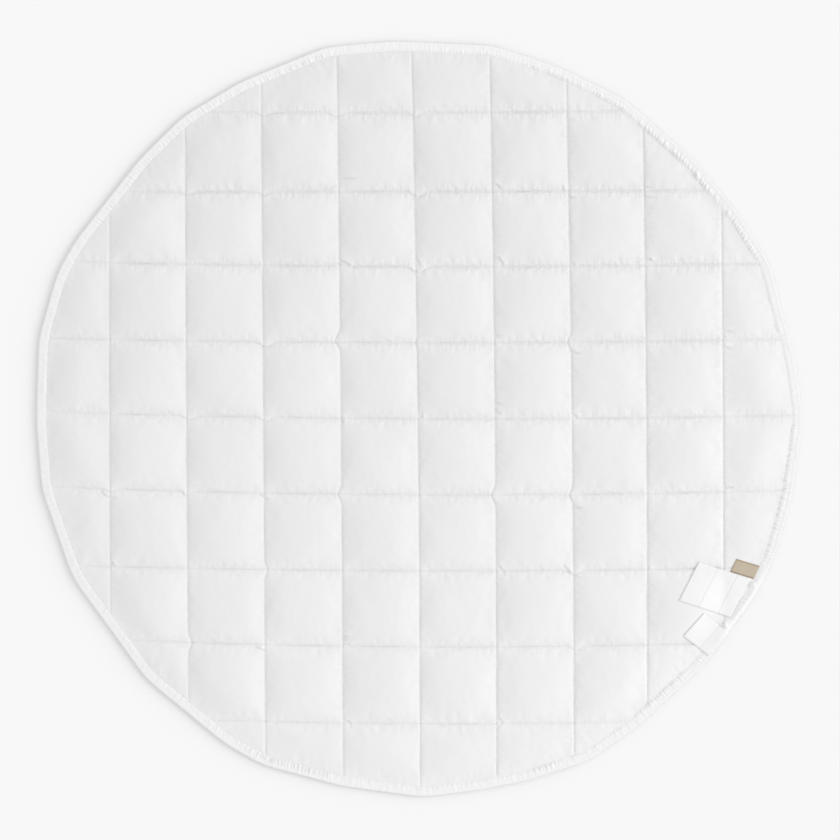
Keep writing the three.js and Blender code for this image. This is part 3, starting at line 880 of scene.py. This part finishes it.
def times(tree, value, factor):
    """A height times a number or a mask."""
    return add(tree, "ShaderNodeMath", {0: value, 1: factor}, operation="MULTIPLY").outputs[0]


def surface(name, colour, **shader):
    """A new material with a plain principled surface, and its tree and shader node."""
    material = bpy.data.materials.new(name)
    material.use_nodes = True
    tree = material.node_tree
    node = tree.nodes["Principled BSDF"]
    node.inputs["Base Color"].default_value = linear(colour)
    for key, value in shader.items():
        node.inputs[key.replace("_", " ").title().replace("Ior", "IOR")].default_value = value
    return material, tree, node


def raise_surface(tree, node, *reliefs):
    """Gives a surface its relief, as heights in millimetres that add up."""
    bump = add(tree, "ShaderNodeBump", {
        "Strength": 1.0, "Distance": MM, "Height": total(tree, *reliefs)})
    tree.links.new(bump.outputs["Normal"], node.inputs["Normal"])


def tint(tree, node, share, low, high):
    """Colours a surface between two tones."""
    mixed = add(tree, "ShaderNodeMix", {"Factor": share, "A": linear(low), "B": linear(high)},
                data_type="RGBA")
    tree.links.new(mixed.outputs["Result"], node.inputs["Base Color"])


def noise(tree, position, scale, detail, **more):
    """Noise of a scale, or of a scale along each axis."""
    if isinstance(scale, tuple):
        position = add(tree, "ShaderNodeMapping", {"Vector": position, "Scale": scale}).outputs[0]
        scale = 1.0
    return add(tree, "ShaderNodeTexNoise", {
        "Vector": position, "Scale": scale, "Detail": detail, **more}).outputs["Fac"]


RIDGES_PER_METRE = 3.14  # about what the wave texture makes at a scale of 1


def ridges(tree, position, spacing, way, distortion, detail, detail_scale):
    """Rows of soft ridges, their spacing in millimetres."""
    return add(tree, "ShaderNodeTexWave", {
        "Vector": position, "Scale": 1 / (spacing * MM) / RIDGES_PER_METRE,
        "Distortion": distortion, "Detail": detail, "Detail Scale": detail_scale},
        wave_type="BANDS", bands_direction=way).outputs["Fac"]


def strip(tree, along_name, across_name):
    """Where a point lies along and across a strip of cloth, and both as one flat position."""
    along = add(tree, "ShaderNodeAttribute", attribute_name=along_name).outputs["Fac"]
    across = add(tree, "ShaderNodeAttribute", attribute_name=across_name).outputs["Fac"]
    return along, across, add(tree, "ShaderNodeCombineXYZ", {"X": along, "Y": across}).outputs[0]


print("mat white is", [round(c, 3) for c in linear("#eeeeee")])

# %% [markdown]
# ## Cotton
#
# The face is cotton percale, a plain weave of thin matt yarns. It scatters light nearly evenly,
# with a faint bloom at grazing angles from its loose fibres, which is the sheen. Its threads are
# about 0.3 mm apart, far below a pixel here, so the weave is drawn at 1.8 mm and very shallow.
#
# Three more things show in percale: soft dents of a few centimetres where the wadding is uneven,
# small crumples, and tiny puckers that run out from each line of stitches. The puckers are noise
# stretched at right angles to the seam and held near it by the attributes made above.

# %% Cotton percale
COTTON = {"roughness": 0.86, "ior": 1.5, "specular_ior_level": 0.3, "sheen_weight": 0.18,
          "sheen_roughness": 0.45}
WEAVE = 1.8  # real threads are about 0.3 mm apart; drawn coarser, to show


def weave(tree, position, spacing):
    """Plain weave: two sets of ridges that take turns on top."""
    return times(tree, *(ridges(tree, position, spacing, way, 1.2, 1.0, 1.5) for way in ("X", "Y")))


percale, tree, node = surface("cotton_percale", "#dedede", **COTTON)
position = add(tree, "ShaderNodeTexCoord").outputs["Object"]
dents = noise(tree, position, 24.0, 2.0)
crumples = noise(tree, position, 95.0, 3.0, Roughness=0.55, Distortion=0.4)
puckers = []
for attribute, stretch in (("near_upright", (45.0, 230.0, 1.0)), ("near_cross", (230.0, 45.0, 1.0))):
    near = add(tree, "ShaderNodeAttribute", attribute_name=attribute).outputs["Fac"]
    puckers.append(times(tree, times(tree, noise(tree, position, stretch, 1.0), 1.7), near))
raise_surface(tree, node, times(tree, dents, 1.5), times(tree, crumples, 0.22), *puckers,
              times(tree, weave(tree, position, WEAVE), 0.015))
# Painted shade: the tone is painted darker toward the top left and lighter toward the lower right, as the
# light falls off across the mat, and it also changes a little at random in clouds.
place_x, place_y, _ = add(tree, "ShaderNodeSeparateXYZ", {0: position}).outputs
falloff_diagonal = add(tree, "ShaderNodeMath", {0: place_x, 1: place_y}, operation="SUBTRACT")
painted_light_falloff = add(tree, "ShaderNodeMath", {0: falloff_diagonal.outputs[0], 1: 0.75, 2: 0.5}, operation="MULTIPLY_ADD",
            use_clamp=True)
painted_falloff_and_mottle = add(tree, "ShaderNodeMix", {
    "Factor": 0.4, "A": painted_light_falloff.outputs[0], "B": noise(tree, position, 7.0, 2.0)}, data_type="FLOAT")
tint(tree, node, painted_falloff_and_mottle.outputs["Result"], "#d8d8d8", "#e4e4e4")
pad.data.materials.append(percale)
print("percale has", len(tree.nodes), "nodes")

# %% [markdown]
# The tape is the same white cotton in a slightly ribbed weave. Its ribs run across the tape, so
# they follow the rim. The two attributes made with the tape say how far along it and how far
# across each point is, and the pattern is drawn in those.

# %% Cotton tape
RIB = 2.0  # real ribs are about 0.5 mm apart; drawn coarser, to show
tape_cotton, tree, node = surface("ribbed_cotton_tape", "#e5e5e5", **COTTON)
_, _, unrolled = strip(tree, "along_tape", "across_tape")
ribs = ridges(tree, unrolled, RIB, "X", 1.5, 2.0, 1.2)
crimps = noise(tree, unrolled, (240.0, 90.0, 1.0), 3.0)
raise_surface(tree, node, times(tree, ribs, 0.05), times(tree, crimps, 1.2))
binding.data.materials.append(tape_cotton)
print("tape cotton has", len(tree.nodes), "nodes")

# %% [markdown]
# The care labels are polyester satin: smooth filament yarns that float over the weave, so the
# cloth is whiter and glossier than cotton, with a soft streak along it. A few pale ruled lines
# divide it, as such labels have, with no words. The small label is a woven tape in undyed tan, with
# a firm rib and darker selvedges.

# %% Label cloths
satin, tree, node = surface(
    "polyester_satin", "#e5e5e5", roughness=0.42, ior=1.53, specular_ior_level=0.45,
    sheen_weight=0.1, sheen_roughness=0.3)
along, _, flat = strip(tree, "label_along", "label_across")
streaks = noise(tree, flat, (900.0, 60.0, 1.0), 2.0)
buckle = noise(tree, flat, 55.0, 2.0)
raise_surface(tree, node, times(tree, streaks, 0.03), times(tree, buckle, 0.7))
RULE_SPACING, RULE_WIDTH = 13.5, 0.5  # of the pale lines
TAN_RIB = 1.6
cell = add(tree, "ShaderNodeMath", {0: along, 1: RULE_SPACING * MM}, operation="PINGPONG")
ruled = add(tree, "ShaderNodeMapRange", {"Value": cell.outputs[0], "From Min": 0.0,
                                         "From Max": RULE_WIDTH * MM, "To Min": 1.0, "To Max": 0.0})
tint(tree, node, ruled.outputs[0], "#e5e5e5", "#c8c8c8")
for name in ("care_label_long", "care_label_short"):
    labels[name].data.materials.append(satin)

woven, tree, node = surface(
    "woven_tan_tape", "#b9ab96", roughness=0.8, ior=1.5, specular_ior_level=0.3,
    sheen_weight=0.2, sheen_roughness=0.5)
_, over, flat = strip(tree, "label_along", "label_across")
TAN_WIDTH = LABELS["tape_label"][3] * MM
toward_edge = add(tree, "ShaderNodeMath", {0: over, 1: TAN_WIDTH / 2}, operation="SUBTRACT")
far = add(tree, "ShaderNodeMath", {0: toward_edge.outputs[0]}, operation="ABSOLUTE")
selvedge = add(tree, "ShaderNodeMapRange", {"Value": far.outputs[0], "From Min": TAN_WIDTH * 0.36,
                                            "From Max": TAN_WIDTH * 0.48})
tint(tree, node, selvedge.outputs[0], "#b9ac98", "#9c8a70")
raise_surface(tree, node, times(tree, weave(tree, flat, TAN_RIB), 0.12))
labels["tape_label"].data.materials.append(woven)
print("label cloths", satin.name, woven.name)

# %% [markdown]
# ## Stitches
#
# A lockstitch shows as a row of short threads laid end to end, each pulled a little into the
# cloth. There are thousands, so Geometry Nodes lay them: a line of edges becomes a curve, the curve
# is cut into stitch lengths, and a small spindle of 24 faces is placed on each point and
# turned along the curve. Realising the copies makes them a real mesh.

# %% Sewing thread
thread, tree, node = surface(
    "polyester_sewing_thread", "#d2d2d2", roughness=0.6, ior=1.5, specular_ior_level=0.4,
    sheen_weight=0.15)
position = add(tree, "ShaderNodeTexCoord").outputs["Object"]
raise_surface(tree, node, times(tree, noise(tree, position, 2200.0, 1.0), 0.05))


def stitch_tree():
    """A Geometry Nodes tree that lays stitches along the edges it is given."""
    group = bpy.data.node_groups.new("stitches_along_a_seam", "GeometryNodeTree")
    panel = group.interface
    panel.new_socket("Geometry", in_out="INPUT", socket_type="NodeSocketGeometry")
    for name, value in (("Stitch Pitch", 0.0036), ("Thread Length", 0.0031),
                        ("Thread Width", 0.0004)):
        panel.new_socket(name, in_out="INPUT", socket_type="NodeSocketFloat").default_value = value
    panel.new_socket("Seed", in_out="INPUT", socket_type="NodeSocketInt")
    panel.new_socket("Thread", in_out="INPUT", socket_type="NodeSocketMaterial")
    panel.new_socket("Geometry", in_out="OUTPUT", socket_type="NodeSocketGeometry")
    given = add(group, "NodeGroupInput").outputs
    line = add(group, "GeometryNodeMeshToCurve", {"Mesh": given["Geometry"]})
    cut = add(group, "GeometryNodeResampleCurve", {
        "Curve": line.outputs[0], "Length": given["Stitch Pitch"]}, mode="LENGTH")
    size = add(group, "ShaderNodeCombineXYZ", {
        "X": given["Thread Length"], "Y": given["Thread Width"], "Z": given["Thread Width"]})
    half = add(group, "ShaderNodeVectorMath", {0: size.outputs[0], 1: (0.5, 0.5, 0.5)},
               operation="MULTIPLY")
    spindle = add(group, "GeometryNodeMeshUVSphere", {"Segments": 6, "Rings": 4, "Radius": 1.0})
    lying = add(group, "GeometryNodeTransform", {
        "Geometry": spindle.outputs["Mesh"], "Rotation": (0.0, math.pi / 2, 0.0)})
    shaped = add(group, "GeometryNodeTransform", {
        "Geometry": lying.outputs[0], "Scale": half.outputs[0]})
    smooth_thread = add(group, "GeometryNodeSetShadeSmooth", {"Geometry": shaped.outputs[0]})
    way = add(group, "GeometryNodeInputTangent")
    turned = add(group, "FunctionNodeAlignRotationToVector", {"Vector": way.outputs[0]}, axis="X")
    wobble = add(group, "FunctionNodeRandomValue", {
        "Min": (0.0, 0.0, -0.12), "Max": (0.0, 0.0, 0.12), "Seed": given["Seed"]},
        data_type="FLOAT_VECTOR")
    final = add(group, "FunctionNodeRotateRotation", {
        "Rotation": turned.outputs[0], "Rotate By": wobble.outputs[0]}, rotation_space="LOCAL")
    copies = add(group, "GeometryNodeInstanceOnPoints", {
        "Points": cut.outputs[0], "Instance": smooth_thread.outputs[0],
        "Rotation": final.outputs[0]})
    real = add(group, "GeometryNodeRealizeInstances", {"Geometry": copies.outputs[0]})
    dyed = add(group, "GeometryNodeSetMaterial", {
        "Geometry": real.outputs[0], "Material": given["Thread"]})
    add(group, "NodeGroupOutput", {"Geometry": dyed.outputs[0]})
    return group


STITCHES = stitch_tree()
print("stitch tree has", len(STITCHES.nodes), "nodes")


# %% Lay the stitches
def sewn(name, rows, seed, **sizes):
    """Stitches along rows of points in millimetres, as one plain mesh."""
    points = np.vstack(rows)
    edges, count = [], 0
    for row in rows:
        edges += [(count + k, count + k + 1) for k in range(len(row) - 1)]
        count += len(row)
    mesh = bpy.data.meshes.new(name + "_lines")
    mesh.from_pydata((points * MM).tolist(), edges, [])
    guide = bpy.data.objects.new(name + "_lines", mesh)
    bpy.context.scene.collection.objects.link(guide)
    modifier = guide.modifiers.new("stitches", "NODES")
    modifier.node_group = STITCHES
    socket = {item.name: item.identifier for item in STITCHES.interface.items_tree
              if item.item_type == "SOCKET" and item.in_out == "INPUT"}
    modifier[socket["Seed"]] = seed
    modifier[socket["Thread"]] = thread
    for key, value in sizes.items():
        modifier[socket[key.replace("_", " ").title()]] = value * MM
    depsgraph = bpy.context.evaluated_depsgraph_get()
    real = bpy.data.meshes.new_from_object(guide.evaluated_get(depsgraph), depsgraph=depsgraph)
    bpy.data.objects.remove(guide)
    real.name = name
    piece = bpy.data.objects.new(name, real)
    bpy.context.scene.collection.objects.link(piece)
    print(name, len(real.polygons), "faces")
    return piece


SINK = 0.08  # a stitch is pulled this far into the cloth
GUIDE_STEP = 1.8  # between the points that the thread is led over
TOPSTITCH_IN = 10.1  # the tape's stitches, in from the outer fold


def laid_on(tree, plan):
    """Points laid on the cloth that the tree holds."""
    return np.column_stack([plan, [top_at(tree, x, y) - SINK for x, y in plan]])


quilting_rows = []
pad_tree = tree_of(pad)
for kind in ("upright", "cross"):
    for line in range(len(UPRIGHT_SEAMS)):
        row = seam_line(kind, line, GUIDE_STEP)
        quilting_rows.append(laid_on(pad_tree, row + nudge_at(row)))
quilting = sewn("quilting_stitches", quilting_rows, 3)

row = laid_on(tree_of(binding), tape_line + tape_inwards * TOPSTITCH_IN)
row = np.vstack([row, row[:1]])
topstitch = sewn("tape_stitches", [row], 8, stitch_pitch=3.2, thread_length=2.7)

# %% [markdown]
# ## Each piece on the mat's body
#
# Every piece rides on the mat's one body. The pad, the tape and the labels each take the place of a
# measured solid, which is hidden. The pad is a filled form. The tape and the labels are sheets; the
# tape is folded in half, and its cut is as long as the rim.

for piece, solid, slot in (
        (pad, "quilted_pad", "quilt_cotton"), (binding, "edge_binding", "binding_cotton"),
        (labels["tape_label"], "tape_label", "tan_tape"),
        (labels["care_label_long"], "care_label_long", "label_satin"),
        (labels["care_label_short"], "care_label_short", "label_satin")):
    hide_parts(solid)
    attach(piece, "root")
for piece in (quilting, topstitch):
    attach(piece, "root")
print("declared", len(labels) + 2, "soft pieces")

# %% [markdown]
# ## Floor, light and camera
#
# The mat lies on a white table under very even light, with a soft main light from the right. A sun
# lamp with a wide disc gives that main light the same strength everywhere, which keeps the table
# one flat tone, and the pale world fills the shadows. The camera looks straight down. It has no
# perspective, because the photograph was taken from high above and shows none.

# %% Studio
TABLE_WHITE, TABLE_HALF = "#eaeaea", 8.0  # metres from the middle to an edge
TABLE_BELOW = 0.05  # so that mat and table never share a plane
table_top, tree, node = surface("matt_white_laminate", TABLE_WHITE, roughness=0.9, specular_ior_level=0.1)
floor = mesh_object("table", np.array([(-1, -1, 0), (1, -1, 0), (1, 1, 0), (-1, 1, 0)]) * TABLE_HALF / MM
                    - (0, 0, TABLE_BELOW), [(0, 1, 2, 3)])
floor.data.materials.append(table_top)

SUN_HEIGHT, SUN_SIDE = 22.0, 4.0  # degrees above the table, and round from straight right
SUN_WIDTH, SUN_STRENGTH = 50.0, 1.2  # a wide disc, in degrees, gives soft shadows
sun = bpy.data.lights.new("soft_main_light", "SUN")
sun.energy = SUN_STRENGTH
sun.angle = math.radians(SUN_WIDTH)
sun_object = bpy.data.objects.new("soft_main_light", sun)
sun_object.rotation_euler = (0.0, math.radians(90 - SUN_HEIGHT), math.radians(SUN_SIDE))
bpy.context.scene.collection.objects.link(sun_object)

ROOM_LIGHT, ROOM_SLOPE = 0.998, 0.15  # the room's mean light, and how much its right side gains
world = bpy.data.worlds.new("pale_room")
world.use_nodes = True
room = world.node_tree
toward = add(room, "ShaderNodeSeparateXYZ", {0: add(room, "ShaderNodeTexCoord").outputs["Generated"]})
bright = add(room, "ShaderNodeMath", {0: toward.outputs["X"], 1: ROOM_SLOPE, 2: ROOM_LIGHT},
             operation="MULTIPLY_ADD")
room.links.new(bright.outputs[0], room.nodes["Background"].inputs["Strength"])
room.nodes["Background"].inputs["Color"].default_value = (1, 1, 1, 1)
bpy.context.scene.world = world
bpy.context.scene.view_settings.view_transform = "Standard"

VIEW_WIDTH = 1.0979  # metres of table across the picture
VIEW_MIDDLE, VIEW_HEIGHT = (0.00065, -0.00098), 4.0
camera = bpy.data.cameras.new("overhead")
camera.type = "ORTHO"
camera.ortho_scale = VIEW_WIDTH
camera_object = bpy.data.objects.new("overhead", camera)
camera_object.location = (*VIEW_MIDDLE, VIEW_HEIGHT)
bpy.context.scene.collection.objects.link(camera_object)
bpy.context.scene.camera = camera_object
print("camera sees", VIEW_WIDTH, "m")
